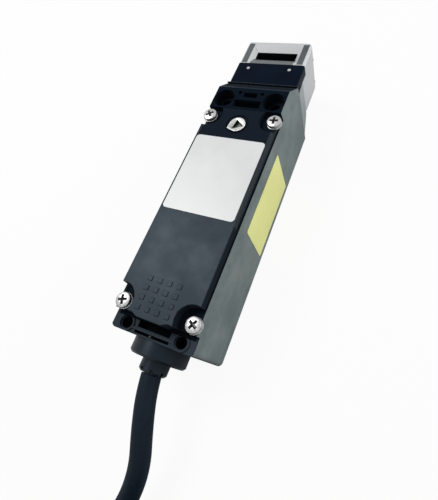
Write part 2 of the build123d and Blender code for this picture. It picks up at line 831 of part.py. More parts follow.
def make_key():
    """Release key: a disc with a pointer, a triangular socket and an eccentric drive pin inside."""
    top = cover_front + key_proud
    disc = bar_z(key_radius, cover_front - key_head + 0.1, top, 0, key_y)
    pointer = [(-3.8, -2.0), (-0.4, -3.6), (-3.1, 1.7)]
    tip = make_face(Polyline(*[(x, key_y + y) for x, y in pointer], close=True).edges())
    disc += Pos(0, 0, cover_front - 0.35) * extrude(tip, 0.35 + key_proud)
    disc &= bar_z(key_radius + 1.0, 0, top, 0, key_y)
    socket = Pos(0, key_y, top - key_socket_depth) * Rot(0, 0, 90) * extrude(
        RegularPolygon(key_socket_radius, 3), key_socket_depth + 1
    )
    key_low = rod_depth + rod_collar_radius + 2.0
    key = disc + bar_z(key_shaft_radius, key_low, cover_front - key_head + 0.1, 0, key_y) - socket
    arm = Pos(-key_lobe_offset / 2, key_y) * Rectangle(key_lobe_offset, 2 * key_lobe_radius)
    lobe = Pos(-key_lobe_offset, key_y) * Circle(key_lobe_radius) + arm
    key += Pos(0, 0, key_low) * extrude(lobe, 2.0)
    groove = bar_z(key_shaft_radius + 0.5, retainer_low, retainer_low + retainer_thickness + 0.2, 0, key_y)
    return key - (groove - bar_z(key_shaft_radius - 0.5, 0, top, 0, key_y))


def make_key_retainer():
    low = retainer_low + 0.1
    ring = bar_z(key_shaft_radius + 1.6, low, low + retainer_thickness, 0, key_y)
    ring -= bar_z(key_shaft_radius - 0.4, 0, cover_front, 0, key_y)
    return ring - block(-1.6, 1.6, key_y - 6, key_y, retainer_low, retainer_low + 1)


def make_gland():
    gland = bar_y(gland_radius, -gland_length, 0, entry_depth)
    rim = gland.edges().filter_by(GeomType.CIRCLE).sort_by(Axis.Y)[0]
    gland = chamfer(rim, 0.8)
    gland += bar_y(entry_radius, -1, entry_length, entry_depth)
    gland -= bar_y(entry_radius - 1.0, -gland_length - 1, entry_length - 1.5, entry_depth)
    return gland - bar_y(lead_radius + seal_clearance, -1, entry_length + 1, entry_depth)


def make_gland_seal():
    seal = bar_y(entry_radius - 1.0, -gland_length, entry_length - 4, entry_depth)
    return seal - bar_y(lead_radius + seal_clearance, -gland_length - 1, entry_length, entry_depth)


def make_gland_nut():
    nut_end = -gland_length - nut_length
    nut = bar_y(nut_radius, nut_end, -gland_length, entry_depth)
    rim = nut.edges().filter_by(GeomType.CIRCLE).sort_by(Axis.Y)[0]
    nut = chamfer(rim, 0.8)
    for i in range(8):
        slot = block(-0.5, 0.5, nut_end - 1, nut_end + 1.6, nut_radius - 1.2, nut_radius + 1)
        nut -= Pos(0, 0, entry_depth) * Rot(0, i * 45 + 22.5, 0) * slot
    return nut - bar_y(lead_radius + seal_clearance, -30, 1, entry_depth)


def make_lead_tail():
    return bar_y(lead_radius, -gland_length - nut_length, entry_length + 2.0, entry_depth)


def make_inner_wires():
    """Four cores from the end of the lead's sheath to the board."""
    wires = []
    landing = board_front + core_radius + 0.05
    for i, (x, z) in enumerate(core_spots):
        goal_x = (i - 1.5) * wire_pitch
        path = FilletPolyline(
            (x, entry_length + 2.0, entry_depth + z),
            (x, entry_length + wire_straight, entry_depth + z),
            (goal_x, block_low - wire_straight, landing),
            (goal_x, block_low + 2.0, landing),
            radius=wire_bend,
        )
        section = Plane(origin=path @ 0, z_dir=path % 0) * RegularPolygon(core_radius, wire_sides)
        wires.append(sweep(section, path))
    return group(wires)


def make_lead():
    """The free lead from the nut to the coil: straight runs joined by arcs as large as they allow."""
    points = [Vector(*p) for p in lead_route]
    radii = []
    for before, corner, after in zip(points, points[1:], points[2:]):
        turn = math.radians((corner - before).get_angle(after - corner))
        shorter = min((corner - before).length, (after - corner).length)
        radii.append(0.45 * shorter / math.tan(turn / 2))
    print("lead arc radii:", [round(r, 1) for r in radii])
    path = FilletPolyline(*points, radius=radii)
    section = Plane(origin=path @ 0, z_dir=path % 0) * Circle(lead_radius)
    lead = sweep(section, path)
    volume_ratio = lead.volume / (path.length * math.pi * lead_radius**2)
    print("lead length:", round(path.length, 1), "volume ratio:", round(volume_ratio, 4))
    outside = lead - make_lead_coil()
    return max(outside.solids(), key=lambda solid: solid.volume)


def make_lead_coil():
    """The put-away length of the lead, as one ring round all its turns."""
    ring = Cylinder(coil_inner_radius + coil_width, coil_height) - Cylinder(coil_inner_radius, coil_height)
    return Pos(*coil_center, coil_height / 2) * ring


def make_lead_cores():
    """Four stripped cores where the outermost turn leaves the top of the coil along Y."""
    coil_radius_out = coil_inner_radius + coil_width
    x = coil_center[0] + coil_radius_out - lead_radius
    z = coil_height - lead_radius
    low = coil_center[1] + lead_radius
    reach = math.sqrt(coil_radius_out**2 - (coil_radius_out - lead_radius) ** 2)
    high = coil_center[1] + reach + stripped_length
    ring = Pos(*coil_center, coil_height / 2) * Cylinder(coil_radius_out, coil_height)
    return group([bar_y(core_radius, low, high, z + dz, x + dx) - ring for dx, dz in core_spots])


def main():
    pieces = {
        "body_case": make_case,
        "front_cover": make_cover,
        "cover_gasket": make_gasket,
        "cover_screws": make_cover_screws,
        "front_label": make_front_label,
        "side_label": make_side_label,
        "head_collar": make_collar,
        "head_housing": make_head,
        "head_front_plate": make_front_plate,
        "plate_pins": make_plate_pins,
        "head_screws": make_head_screws,
        "cam_drum": make_cam,
        "cam_pin": lambda: bar_x(pin_radius, -pin_half, pin_half, cam_y, rod_depth),
        "operating_rod": make_rod,
        "rod_bush": make_bush,
        "rod_seal": make_rod_seal,
        "rod_spring": make_rod_spring,
        "contact_block": make_contact_block,
        "contact_lid": make_contact_lid,
        "contact_carrier": make_carrier,
        "moving_contacts": make_bridges,
        "fixed_contacts": make_fixed_contacts,
        "circuit_board": make_board,
        "board_parts": make_board_parts,
        "inner_wires": make_inner_wires,
        "lock_frame": make_lock_frame,
        "lock_lever": make_lever,
        "lever_pin": make_lever_pin,
        "solenoid_yoke": make_yoke,
        "solenoid_bobbin": make_bobbin,
        "solenoid_coil": make_coil,
        "solenoid_core": make_core,
        "solenoid_plunger": make_plunger,
        "plunger_spring": make_plunger_spring,
        "release_key": make_key,
        "key_retainer": make_key_retainer,
        "gland_body": make_gland,
        "gland_seal": make_gland_seal,
        "gland_nut": make_gland_nut,
        "lead_tail": make_lead_tail,
        "lead": make_lead,
        "lead_coil": make_lead_coil,
        "lead_cores": make_lead_cores,
    }
    for name, make in pieces.items():
        save(name, make())


main()
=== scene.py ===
import bpy
import bmesh
import math
from mathutils import Matrix, Vector


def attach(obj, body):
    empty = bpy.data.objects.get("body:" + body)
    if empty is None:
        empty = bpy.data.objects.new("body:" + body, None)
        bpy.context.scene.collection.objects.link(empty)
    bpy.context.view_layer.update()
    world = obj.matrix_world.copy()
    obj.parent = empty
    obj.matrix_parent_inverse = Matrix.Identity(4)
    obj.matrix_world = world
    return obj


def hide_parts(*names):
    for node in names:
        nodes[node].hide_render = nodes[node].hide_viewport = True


# Looks of the solenoid-locked tongue interlock switch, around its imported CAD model.
# The frame's origin is the centre of the mounting holes: X across, Y towards the head, Z out of the front.
# Lengths are metres, and names that end in _mm are millimetres.

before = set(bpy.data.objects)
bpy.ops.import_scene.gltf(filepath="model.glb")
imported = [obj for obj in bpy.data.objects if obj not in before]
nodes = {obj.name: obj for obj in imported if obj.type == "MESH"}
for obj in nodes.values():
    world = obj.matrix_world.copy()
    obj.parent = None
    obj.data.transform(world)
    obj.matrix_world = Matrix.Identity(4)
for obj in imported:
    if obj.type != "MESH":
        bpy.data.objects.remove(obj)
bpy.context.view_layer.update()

MM = 0.001
BODY_LOW_MM = -54.0  # the body's lead end, along Y


def at(x, y, z):
    """A point from millimetres, with Y measured from the body's lead end as in the CAD model."""
    return Vector((x * MM, (y + BODY_LOW_MM) * MM, z * MM))


# Camera, as fitted to the photograph

CAMERA_PLACE = (0.06526, -0.051893, 0.145436)
CAMERA_TURN_DEG = (25.868, 13.991, 20.94)
CAMERA_LENS_MM = 25.437
CAMERA_SENSOR_MM = 36.0
CAMERA_SHIFT = (-0.0477, -0.0246)
CAMERA_CLIP_START = 0.005

# Cable

LEAD_RADIUS_MM = 3.8
LEAD_EXIT_MM = (0.0, -10.5, 20.0)
LEAD_ROUTE_MM = [
    LEAD_EXIT_MM,
    (0.9, -16.5, 20.0),
    (4.2, -27.5, 18.8),
    (7.2, -41.5, 13.0),
    (3.8, -57.0, 6.8),
    (-6.0, -71.5, 3.9),
]
COIL_CENTER_MM = (22.1, -98.7)
COIL_RADIUS_MM = 39.0
COIL_FLOOR_MM = 3.9  # height of the lowest turn's centreline
COIL_LAYER_MM = 7.8
COIL_LAYERS = 4
COIL_POINTS_PER_TURN = 16
COIL_POINT_STEP_DEG = 360.0 / COIL_POINTS_PER_TURN
COIL_START_DEG = 157.5
COIL_END_DEG = 1440.0
FIRST_RISE_DEG = (440.0, 512.0)  # the coil climbs to its second layer between these, and again each turn
TAIL_MM = 18.0  # straight end past the coil


def smooth(value, low, high):
    """0 below low, 1 above high, and an even ease between."""
    t = min(max((value - low) / (high - low), 0.0), 1.0)
    return t * t * (3 - 2 * t)


# Shader helpers


def new_material(name):
    """An empty node material with one shader on its surface."""
    material = bpy.data.materials.new(name)
    material.use_nodes = True
    tree = material.node_tree
    tree.nodes.clear()
    output = tree.nodes.new("ShaderNodeOutputMaterial")
    shader = tree.nodes.new("ShaderNodeBsdfPrincipled")
    tree.links.new(shader.outputs["BSDF"], output.inputs["Surface"])
    return material, tree, shader


def add_node(tree, kind, inputs=None, **settings):
    """Add a node; an input is given as a value or as another node's output."""
    node = tree.nodes.new(kind)
    for key, value in settings.items():
        setattr(node, key, value)
    for key, value in (inputs or {}).items():
        if hasattr(value, "links"):
            tree.links.new(value, node.inputs[key])
        else:
            node.inputs[key].default_value = value
    return node


def noise(tree, scale, detail, rough, stretch=(1, 1, 1)):
    """Noise in the object's own space; scale counts features per millimetre."""
    place = add_node(tree, "ShaderNodeTexCoord")
    mapping = add_node(tree, "ShaderNodeMapping", {"Vector": place.outputs["Object"], "Scale": stretch})
    return add_node(
        tree,
        "ShaderNodeTexNoise",
        {"Vector": mapping.outputs["Vector"], "Scale": scale / MM, "Detail": detail, "Roughness": rough},
    )


NOISE_LOW = 0.35
NOISE_HIGH = 0.65


def spread(tree, value, low, high):
    """Map the usual span of a noise value to a range."""
    node = add_node(
        tree,
        "ShaderNodeMapRange",
        {"Value": value, "From Min": NOISE_LOW, "From Max": NOISE_HIGH, "To Min": low, "To Max": high},
    )
    return node.outputs["Result"]


# Sockets of a mix node that mixes colours
MIX_FIRST = 6
MIX_SECOND = 7
MIX_RESULT = 2


def mix_colours(tree, factor, first, second):
    """Mix two colours, each given as red, green and blue or as another node's output."""
    ends = [c if hasattr(c, "links") else (*c, 1) for c in (first, second)]
    inputs = {"Factor": factor, MIX_FIRST: ends[0], MIX_SECOND: ends[1]}
    return add_node(tree, "ShaderNodeMix", inputs, data_type="RGBA").outputs[MIX_RESULT]


def math_node(tree, operation, *values):
    """The result of one operation on values or outputs."""
    node = add_node(tree, "ShaderNodeMath", dict(enumerate(values)), operation=operation)
    return node.outputs[0]


def box_mask(tree, low_mm, high_mm):
    """1 inside a box of the object's own space, given from the lead end, and 0 outside."""
    low, high = at(*low_mm), at(*high_mm)
    place = add_node(tree, "ShaderNodeTexCoord")
    spot = add_node(tree, "ShaderNodeSeparateXYZ", {"Vector": place.outputs["Object"]})
    mask = 1.0
    for axis in range(3):
        middle, reach = (low[axis] + high[axis]) / 2, (high[axis] - low[axis]) / 2
        near = math_node(tree, "COMPARE", spot.outputs[axis], middle, reach)
        mask = math_node(tree, "MULTIPLY", near, mask)
    return mask


SIDE_FACING = 0.6  # how far a side wall's normal points sideways, at least


def lit_side_mask(tree, reach_mm):
    """1 on faces that look sideways and lie further out than a distance from the middle, where side walls
    get painted light.
    """
    place = add_node(tree, "ShaderNodeTexCoord")
    spot = add_node(tree, "ShaderNodeSeparateXYZ", {"Vector": place.outputs["Object"]})
    facing = add_node(tree, "ShaderNodeSeparateXYZ", {"Vector": place.outputs["Normal"]})
    outer = math_node(tree, "GREATER_THAN", math_node(tree, "ABSOLUTE", spot.outputs[0]), reach_mm * MM)
    turned = math_node(tree, "GREATER_THAN", math_node(tree, "ABSOLUTE", facing.outputs[0]), SIDE_FACING)
    return math_node(tree, "MULTIPLY", outer, turned)


def bump(tree, shader, height, strength, distance_mm, edge_mm=0.0):
    """Fine relief, over edges that look slightly rounded."""
    relief = {"Strength": strength, "Distance": distance_mm * MM, "Height": height}
    node = add_node(tree, "ShaderNodeBump", relief)
    if edge_mm:
        soft = add_node(tree, "ShaderNodeBevel", {"Radius": edge_mm * MM}, samples=4)
        tree.links.new(soft.outputs["Normal"], node.inputs["Normal"])
    tree.links.new(node.outputs["Normal"], shader.inputs["Normal"])


def moulded(
    name,
    dark,
    light,
    rough=(0.45, 0.6),
    level=0.4,
    grain=0.35,
    edge_mm=0.25,
    sides=None,
    zones=(),
    tint=(1, 1, 1),
):
    """Moulded plastic: slight blotches in colour and gloss, and a fine spark-eroded grain.

    The sides are the (distance from the middle, dark, light) of painted light: side walls coloured lighter
    for the light that falls on them.
    The zones are dull boxes of painted shade, and on the case's flange of painted sheen, as (low corner,
    high corner, colour).
    """
    material, tree, shader = new_material(name)
    blotch = noise(tree, scale=0.09, detail=4.0, rough=0.6)
    fine = noise(tree, scale=4.0, detail=2.0, rough=0.6)
    patches = spread(tree, blotch.outputs["Fac"], 0, 1)
    tone = mix_colours(tree, patches, dark, light)
    # painted light: side walls facing out get a lighter tone for the light that falls on them
    if sides:
        reach_mm, side_dark, side_light = sides
        lit_side_tone = mix_colours(tree, patches, side_dark, side_light)
        tone = mix_colours(tree, lit_side_mask(tree, reach_mm), tone, lit_side_tone)
    gloss = spread(tree, blotch.outputs["Fac"], *rough)
    # painted shade, and painted sheen, in the zones; they are also made dull
    for low_mm, high_mm, colour in zones:
        mask = box_mask(tree, low_mm, high_mm)
        tone = mix_colours(tree, mask, tone, colour)
        gloss = math_node(tree, "MAXIMUM", gloss, mask)
    tree.links.new(tone, shader.inputs["Base Color"])
    tree.links.new(gloss, shader.inputs["Roughness"])
    shader.inputs["Specular IOR Level"].default_value = level
    shader.inputs["Specular Tint"].default_value = (*tint, 1)
    bump(tree, shader, fine.outputs["Fac"], strength=grain, distance_mm=0.03, edge_mm=edge_mm)
    return material


def metal(name, dark, light, rough=(0.25, 0.45), stretch=(1, 1, 1), zones=()):
    """Bare or plated metal with fine directional marks, and painted shade in its zones."""
    material, tree, shader = new_material(name)
    marks = noise(tree, scale=1.2, detail=4.0, rough=0.6, stretch=stretch)
    tone = mix_colours(tree, spread(tree, marks.outputs["Fac"], 0, 1), dark, light)
    # painted shade in the zones
    for low_mm, high_mm, colour in zones:
        tone = mix_colours(tree, box_mask(tree, low_mm, high_mm), tone, colour)
    tree.links.new(tone, shader.inputs["Base Color"])
    tree.links.new(spread(tree, marks.outputs["Fac"], *rough), shader.inputs["Roughness"])
    shader.inputs["Metallic"].default_value = 1.0
    bump(tree, shader, marks.outputs["Fac"], strength=0.2, distance_mm=0.02, edge_mm=0.15)
    return material


def painted(name, dark, light, zones):
    """Silver-painted die casting with a faint orange-peel relief, and painted shade in its zones."""
    material, tree, shader = new_material(name)
    peel = noise(tree, scale=0.9, detail=3.0, rough=0.5)
    flakes = noise(tree, scale=7.0, detail=1.0, rough=0.5)
    tone = mix_colours(tree, spread(tree, flakes.outputs["Fac"], 0, 1), dark, light)
    # painted shade in the zones
    for low_mm, high_mm, colour in zones:
        tone = mix_colours(tree, box_mask(tree, low_mm, high_mm), tone, colour)
    tree.links.new(tone, shader.inputs["Base Color"])
    tree.links.new(spread(tree, peel.outputs["Fac"], 0.35, 0.5), shader.inputs["Roughness"])
    shader.inputs["Metallic"].default_value = 0.15
    shader.inputs["Specular IOR Level"].default_value = 0.5
    bump(tree, shader, peel.outputs["Fac"], strength=0.25, distance_mm=0.05, edge_mm=0.3)
    return material


def rubbery(name, dark, light, level):
    """Cable sheath and seals: soft sheen with faint streaks."""
    material, tree, shader = new_material(name)
    streak = noise(tree, scale=0.5, detail=3.0, rough=0.5)
    tone = mix_colours(tree, spread(tree, streak.outputs["Fac"], 0, 1), dark, light)
    tree.links.new(tone, shader.inputs["Base Color"])
    tree.links.new(spread(tree, streak.outputs["Fac"], 0.5, 0.65), shader.inputs["Roughness"])
    shader.inputs["Specular IOR Level"].default_value = level
    bump(tree, shader, streak.outputs["Fac"], strength=0.2, distance_mm=0.05)
    return material


# Materials, with the zones of each piece: painted shade in recesses and on faces that lie in shade, and a
# painted sheen on the front of the case's flange

COLD = (0.72, 0.90, 1.0)  # tints of the sheen
COLDER = (0.4, 0.75, 1.0)
CASE_SHADE_AND_SHEEN = [
    # inside of the case, with painted shade
    ((-16.2, 0.4, 0.5), (16.2, 94.0, 31.1), (0.003, 0.004, 0.006)),
    # painted sheen on the front of the flange, in place of the lamp's reflection
    ((-18.0, -1.0, 31.15), (18.0, 4.95, 32.5), (0.034, 0.045, 0.058)),
    # painted shade on the rim below the cover
    ((-16.3, 5.0, 31.0), (16.3, 94.0, 34.1), (0.003, 0.005, 0.009)),
    # painted shade on the front of the top block
    ((-16.5, 99.0, 37.0), (16.5, 110.7, 38.2), (0.002, 0.005, 0.011)),
    # painted shade inside the top block and on its slope to the head
    ((-16.2, 94.0, 0.5), (16.2, 117.0, 37.0), (0.004, 0.006, 0.010)),
]
CASE = moulded(
    "case_plastic",
    (0.004, 0.008, 0.015),
    (0.006, 0.011, 0.019),
    rough=(0.42, 0.52),
    level=0.08,
    grain=0.5,
    # painted light: the side walls take a lighter colour for the light that falls on them
    sides=(16.2, (0.138, 0.172, 0.175), (0.200, 0.240, 0.236)),
    zones=CASE_SHADE_AND_SHEEN,
    tint=COLD,
)
COVER_PAINTED_SHADE = [
    # painted shade on the sides and corners of the lead end
    ((-18.0, 0.0, 30.0), (18.0, 46.0, 37.6), (0.004, 0.007, 0.012)),
    # painted shade on the field around the release key
    ((-15.4, 83.0, 30.0), (15.4, 100.0, 38.6), (0.003, 0.006, 0.012)),
]
COVER = moulded(
    "cover_plastic",
    (0.004, 0.008, 0.014),
    (0.006, 0.011, 0.018),
    rough=(0.36, 0.46),
    level=0.18,
    zones=COVER_PAINTED_SHADE,
    tint=COLD,
)
BLACK = moulded(
    "black_plastic", (0.001, 0.003, 0.009), (0.001, 0.005, 0.013), rough=(0.3, 0.42), level=0.03, tint=COLDER
)
GLAND = moulded(
    "gland_plastic", (0.004, 0.007, 0.012), (0.006, 0.010, 0.016), rough=(0.28, 0.4), level=0.2, tint=COLD
)
CREAM = moulded("cream_plastic", (0.50, 0.46, 0.36), (0.58, 0.53, 0.42))
BROWN = moulded("brown_plastic", (0.10, 0.03, 0.02), (0.13, 0.04, 0.03))
GREEN = moulded("board_mask", (0.01, 0.09, 0.04), (0.015, 0.12, 0.05), rough=(0.3, 0.4))
# painted shade: the colours of the head's deep slots and of the lip of the front slot
SLOT_PAINTED_SHADE = (0.002, 0.003, 0.006)
LIP_PAINTED_SHADE = (0.12, 0.13, 0.135)
HEAD_PAINTED_SHADE = [
    # painted shade on the lip of the front slot
    ((-10.6, 131.0, 31.15), (10.6, 136.25, 33.25), LIP_PAINTED_SHADE),
    # painted shade in the front slot
    ((-10.05, 136.15, 20.0), (10.05, 141.05, 31.22), SLOT_PAINTED_SHADE),
    # painted shade in the end slot
    ((-10.05, 141.0, 21.9), (10.05, 143.52, 26.9), SLOT_PAINTED_SHADE),
    # painted shade in the chamber of the cam
    ((-12.25, 125.9, 12.1), (12.25, 141.45, 26.95), SLOT_PAINTED_SHADE),
]
SILVER = painted("silver_paint", (0.46, 0.47, 0.48), (0.54, 0.55, 0.56), zones=HEAD_PAINTED_SHADE)
FOOT_PAINTED_SHADE = [
    # painted shade on the lip above the slope of the case
    ((-17.2, 118.4, 28.5), (17.2, 119.1, 34.0), (0.003, 0.006, 0.012)),
]
FOOT = painted("grey_paint", (0.24, 0.27, 0.28), (0.30, 0.33, 0.34), zones=FOOT_PAINTED_SHADE)
PLATED = metal("plated_steel", (0.34, 0.34, 0.34), (0.50, 0.50, 0.50), rough=(0.32, 0.48))
# painted shade: a darker copy of the plated steel for the screws' cross recesses
SCREW_RECESS_SHADE = metal("screw_recess_shade", (0.09, 0.09, 0.09), (0.16, 0.16, 0.16), rough=(0.5, 0.6))
STEEL = metal("plain_steel", (0.42, 0.42, 0.41), (0.55, 0.55, 0.54), stretch=(1, 6, 1))
BURNISHED = metal("dark_cam_steel", (0.010, 0.011, 0.013), (0.020, 0.021, 0.023), rough=(0.4, 0.5))
KEY_PAINTED_SHADE = [
    # painted shade on all that lies behind the front face
    ((-6.0, 84.0, 30.0), (6.0, 97.0, 38.08), (0.012, 0.013, 0.014)),
    # lighter painted shade on the floor of the socket
    ((-6.0, 84.0, 36.5), (6.0, 97.0, 36.7), (0.16, 0.17, 0.16)),
]
CAST = metal("cast_disc", (0.42, 0.42, 0.41), (0.58, 0.58, 0.57), rough=(0.35, 0.5), zones=KEY_PAINTED_SHADE)
BRASS = metal("contact_brass", (0.60, 0.42, 0.18), (0.72, 0.54, 0.26))
COPPER = metal("winding", (0.45, 0.16, 0.07), (0.60, 0.24, 0.10), stretch=(1, 25, 1))
SHEATH = rubbery("cable_sheath", (0.004, 0.009, 0.016), (0.006, 0.012, 0.021), level=0.1)
STRIP = moulded(
    "mouth_texture", (0.035, 0.045, 0.048), (0.09, 0.105, 0.11), rough=(0.6, 0.8), grain=0.9, edge_mm=0
)
SEAL = rubbery("seal_rubber", (0.004, 0.005, 0.006), (0.008, 0.009, 0.010), level=0.15)
FILM = {"rough": (0.3, 0.4), "grain": 0.1, "edge_mm": 0}
WHITE_FILM = moulded("white_film", (0.68, 0.69, 0.69), (0.72, 0.73, 0.73), **FILM)
YELLOW_FILM = moulded("yellow_film", (0.83, 0.85, 0.32), (0.89, 0.91, 0.36), **FILM)

NODE_LOOKS = {
    "body_case": CASE,
    "front_cover": COVER,
    "cover_gasket": SEAL,
    "cover_screws": PLATED,
    "front_label": WHITE_FILM,
    "side_label": YELLOW_FILM,
    "head_collar": FOOT,
    "head_housing": SILVER,
    "head_front_plate": BLACK,
    "plate_pins": PLATED,
    "head_screws": PLATED,
    "cam_drum": BURNISHED,
    "cam_pin": STEEL,
    "operating_rod": STEEL,
    "rod_bush": CREAM,
    "rod_seal": SEAL,
    "rod_spring": STEEL,
    "contact_block": BROWN,
    "contact_lid": BROWN,
    "contact_carrier": CREAM,
    "moving_contacts": BRASS,
    "fixed_contacts": BRASS,
    "circuit_board": GREEN,
    "board_parts": BLACK,
    "inner_wires": SEAL,
    "lock_frame": STEEL,
    "lock_lever": STEEL,
    "lever_pin": STEEL,
    "solenoid_yoke": STEEL,
    "solenoid_bobbin": BLACK,
    "solenoid_coil": COPPER,
    "solenoid_core": STEEL,
    "solenoid_plunger": STEEL,
    "plunger_spring": STEEL,
    "release_key": CAST,
    "key_retainer": BURNISHED,
    "gland_body": GLAND,
    "gland_seal": SEAL,
    "gland_nut": GLAND,
    "lead_tail": SHEATH,
    "lead": SHEATH,
    "lead_coil": SHEATH,
    "lead_cores": SEAL,
}
for name, look in NODE_LOOKS.items():
    slots = nodes[name].data.materials
    slots.clear()
    slots.append(look)


def new_object(name, data):
    """Put data into the scene as an object."""
    obj = bpy.data.objects.new(name, data)
    bpy.context.scene.collection.objects.link(obj)
    return obj


# Cable: the route, then a neat coil with one turn in each layer, put away outside the picture


def coil_points():
    """Control points of the coil; they lie outside its circle, because the curve cuts their corners."""
    step = COIL_POINT_STEP_DEG
    count = round((COIL_END_DEG - COIL_START_DEG) / step)
    pull = math.cos(math.radians(step / 2))
    points = []
    for i in range(count + 1):
        angle = COIL_START_DEG + i * step
        layer = sum(smooth(angle - 360 * rise, *FIRST_RISE_DEG) for rise in range(COIL_LAYERS - 1))
        turn = math.radians(angle)
        x = COIL_CENTER_MM[0] + COIL_RADIUS_MM / pull * math.cos(turn)
        y = COIL_CENTER_MM[1] + COIL_RADIUS_MM / pull * math.sin(turn)
        points.append((x, y, COIL_FLOOR_MM + layer * COIL_LAYER_MM))
    return points


def nurbs_line(name, points_mm, radius_mm, material):
    """A round tube along a smooth curve."""
    curve = bpy.data.curves.new(name, "CURVE")
    curve.dimensions = "3D"
    spline = curve.splines.new("NURBS")
    spline.points.add(len(points_mm) - 1)
    for point, place in zip(spline.points, points_mm):
        point.co = (*at(*place), 1.0)
    spline.order_u = 3
    spline.use_endpoint_u = True
    spline.resolution_u = 8
    curve.bevel_depth = radius_mm * MM
    curve.bevel_resolution = 6
    curve.use_fill_caps = True
    curve.materials.append(material)
    return new_object(name, curve)


tail_x_mm = COIL_CENTER_MM[0] + COIL_RADIUS_MM
tail_y_mm = COIL_CENTER_MM[1]
top_mm = COIL_FLOOR_MM + (COIL_LAYERS - 1) * COIL_LAYER_MM
tail = [(tail_x_mm, tail_y_mm + TAIL_MM / 2, top_mm), (tail_x_mm, tail_y_mm + TAIL_MM, top_mm)]
cable = nurbs_line("cable", LEAD_ROUTE_MM + coil_points() + tail, LEAD_RADIUS_MM, SHEATH)
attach(cable, "housing")
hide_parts("lead", "lead_coil")

# Detailed pieces that stand for plainer CAD solids

SMOOTH_DEG = 35.0  # edges that turn less than this are shaded as one curved face
CUT_PAST_MM = 0.5  # how far a cutting tool sticks out of the face that it cuts


def mesh_piece(name, bm, material):
    """Turn a bmesh, built in millimetres from the lead end, into an object with smooth curved faces."""
    mesh = bpy.data.meshes.new(name)
    bmesh.ops.recalc_face_normals(bm, faces=bm.faces)
    for face in bm.faces:
        face.smooth = True
    for edge in bm.edges:
        if len(edge.link_faces) == 2 and edge.calc_face_angle(0) > math.radians(SMOOTH_DEG):
            edge.smooth = False
    bm.to_mesh(mesh)
    bm.free()
    mesh.materials.append(material)
    return new_object(name, mesh)


def lathe(bm, profile_mm, segments=48):
    """Turn (radius, height) points about Z; a radius of zero closes an end."""
    rings = []
    for radius, height in profile_mm:
        if radius == 0:
            rings.append([bm.verts.new((0, 0, height * MM))])
            continue
        ring = []
        for i in range(segments):
            turn = 2 * math.pi * i / segments
            x, y = radius * MM * math.cos(turn), radius * MM * math.sin(turn)
            ring.append(bm.verts.new((x, y, height * MM)))
        rings.append(ring)
    for low, high in zip(rings, rings[1:]):
        for i in range(segments):
            j = (i + 1) % segments
            if len(low) == 1:
                bm.faces.new((low[0], high[i], high[j]))
            elif len(high) == 1:
                bm.faces.new((low[i], low[j], high[0]))
            else:
                bm.faces.new((low[i], low[j], high[j], high[i]))


def cut(obj, tool):
    """Take the tool's volume away from a mesh object for good."""
    modifier = obj.modifiers.new("cut", "BOOLEAN")
    modifier.operation = "DIFFERENCE"
    modifier.solver = "EXACT"
    modifier.object = tool
    graph = bpy.context.evaluated_depsgraph_get()
    done = bpy.data.meshes.new_from_object(obj.evaluated_get(graph))
    obj.modifiers.clear()
    old = obj.data
    obj.data = done
    bpy.data.meshes.remove(old)
    bpy.data.objects.remove(tool)


SCREW_X_MM = 14.8
SCREW_PLACES_MM = [(9.6, 33.15), (95.0, 35.6)]  # (along the body, height)
SCREW_TURNS_DEG = (18.0, 62.0, 35.0, 5.0)
SCREW_HEAD_PROFILE_MM = [
    (0, 0.9),
    (2.9, 0.9),
    (3.0, 1.1),
    (3.0, 1.75),
    (2.8, 2.15),
    (2.2, 2.4),
    (1.2, 2.52),
    (0, 2.55),
]
WASHER_PROFILE_MM = [(1.6, 0.0), (3.1, 0.0), (3.1, 0.65), (2.95, 0.75), (1.6, 0.75)]
CROSS_REACH_MM = 2.0
CROSS_WIDTH_MM = 1.1
CROSS_TOP_MM = 2.5
CROSS_DEPTH_MM = 1.5
CROSS_TOP_SHARE = 1.1
CROSS_FLOOR_SHARE = 0.45
RECESS_REACH_MM = 2.1
RECESS_HEIGHTS_MM = (1.0, 2.3)


def paint_recess_shade(obj, material):
    """Give the faces of the cut recess, near the axis and between two heights, the darker steel of their
    painted shade.
    """
    obj.data.materials.append(material)
    low, high = RECESS_HEIGHTS_MM
    for face in obj.data.polygons:
        near = face.center.xy.length < RECESS_REACH_MM * MM
        if near and low * MM < face.center.z < high * MM:
            face.material_index = 1


def cross_tool():
    """Tapered cross of a screwdriver's tip, pointing down."""
    bm = bmesh.new()
    outline = []
    for quarter in range(4):
        turn = Matrix.Rotation(math.radians(90 * quarter), 2)
        for long_side, side in ((1, -1), (1, 1), (0, 1)):
            x = CROSS_REACH_MM if long_side else CROSS_WIDTH_MM / 2
            y = side * CROSS_WIDTH_MM / 2
            outline.append(turn @ Vector((x, y)))
    rings = []
    top_level = (CROSS_TOP_MM + CUT_PAST_MM, CROSS_TOP_SHARE)
    floor_level = (CROSS_TOP_MM - CROSS_DEPTH_MM, CROSS_FLOOR_SHARE)
    for height, share in (top_level, floor_level):
        rings.append([bm.verts.new((p.x * share * MM, p.y * share * MM, height * MM)) for p in outline])
    bm.faces.new(rings[0])
    bm.faces.new(list(reversed(rings[1])))
    count = len(outline)
    for i in range(count):
        j = (i + 1) % count
        bm.faces.new((rings[0][j], rings[0][i], rings[1][i], rings[1][j]))
    bmesh.ops.recalc_face_normals(bm, faces=bm.faces)
    mesh = bpy.data.meshes.new("cross")
    bm.to_mesh(mesh)
    bm.free()
    return new_object("cross", mesh)


